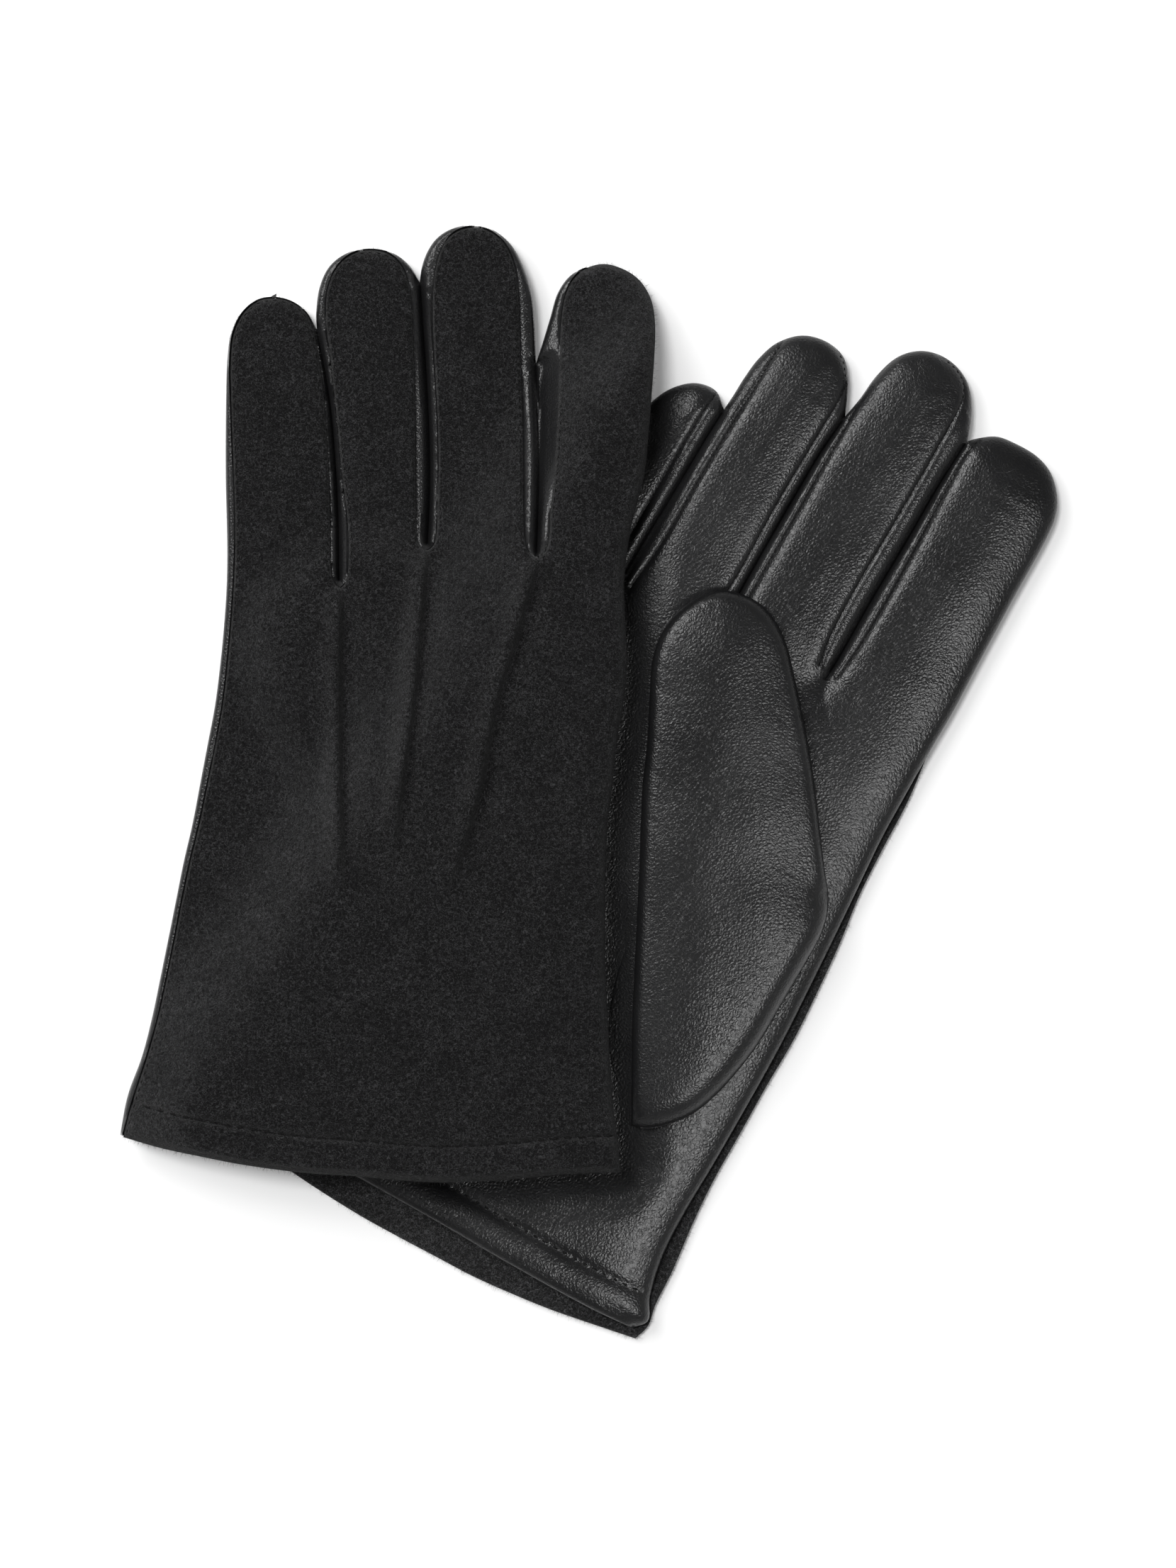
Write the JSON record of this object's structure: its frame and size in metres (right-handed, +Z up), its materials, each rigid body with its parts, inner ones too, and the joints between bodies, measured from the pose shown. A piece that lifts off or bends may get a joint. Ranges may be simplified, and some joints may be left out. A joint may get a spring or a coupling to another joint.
{
  "type": "pair of dress gloves",
  "caption": "Pair of lined dress gloves lying flat, felt backs and leather palms: the left one lies back up across the right one, which lies palm up with its thumb folded over.",
  "frame": {"origin": "centre of the pair's outline on the surface that it lies on", "axes": "+Z up from that surface, +Y along the left glove's fingers, +X from the left glove towards the right one"},
  "size_m": [0.2421, 0.2873, 0.0251],
  "materials": {
    "felt": "matt pressed wool felt",
    "leather": "smooth semi-gloss grain",
    "strip_leather": "smooth semi-gloss grain",
    "lining": "fine brushed knit"
  },
  "bodies": {
    "right_glove": {"right_back_panel": "felt", "right_palm_panel": "leather", "right_fourchette_little_ring": "strip_leather", "right_fourchette_ring_middle": "strip_leather", "right_fourchette_middle_index": "strip_leather", "right_lining_back": "lining", "right_lining_palm": "lining", "right_thumb_gusset": "strip_leather"},
    "right_thumb": {"right_thumb_front": "leather", "right_thumb_back": "leather", "right_thumb_lining_front": "lining", "right_thumb_lining_back": "lining"},
    "left_glove": {"left_back_panel": "felt", "left_palm_panel": "leather", "left_fourchette_little_ring": "strip_leather", "left_fourchette_ring_middle": "strip_leather", "left_fourchette_middle_index": "strip_leather", "left_lining_back": "lining", "left_lining_palm": "lining", "left_thumb_gusset": "strip_leather"},
    "left_thumb": {"left_thumb_front": "leather", "left_thumb_back": "leather", "left_thumb_lining_front": "lining", "left_thumb_lining_back": "lining"}
  },
  "joints": [
    {"name": "right_thumb_fold", "type": "hinge", "parent": "right_glove", "child": "right_thumb", "pos_m": [0.01105, -0.08787, 0.0095], "axis": [0.6454, 0.7638, 0], "range_deg": [0, 85]},
    {"name": "left_glove_lift", "type": "slide", "parent": "right_glove", "child": "left_glove", "axis": [0, 0, 1], "range_m": [0, 0.15]},
    {"name": "left_thumb_fold", "type": "hinge", "parent": "left_glove", "child": "left_thumb", "pos_m": [-0.019, -0.082, 0.0147], "axis": [-0.1942, -0.981, 0], "range_deg": [0, 40]}
  ],
  "couplings": [
    {"joint": "left_thumb_fold", "follows": "left_glove_lift", "rad_per_m": 4.65}
  ]
}
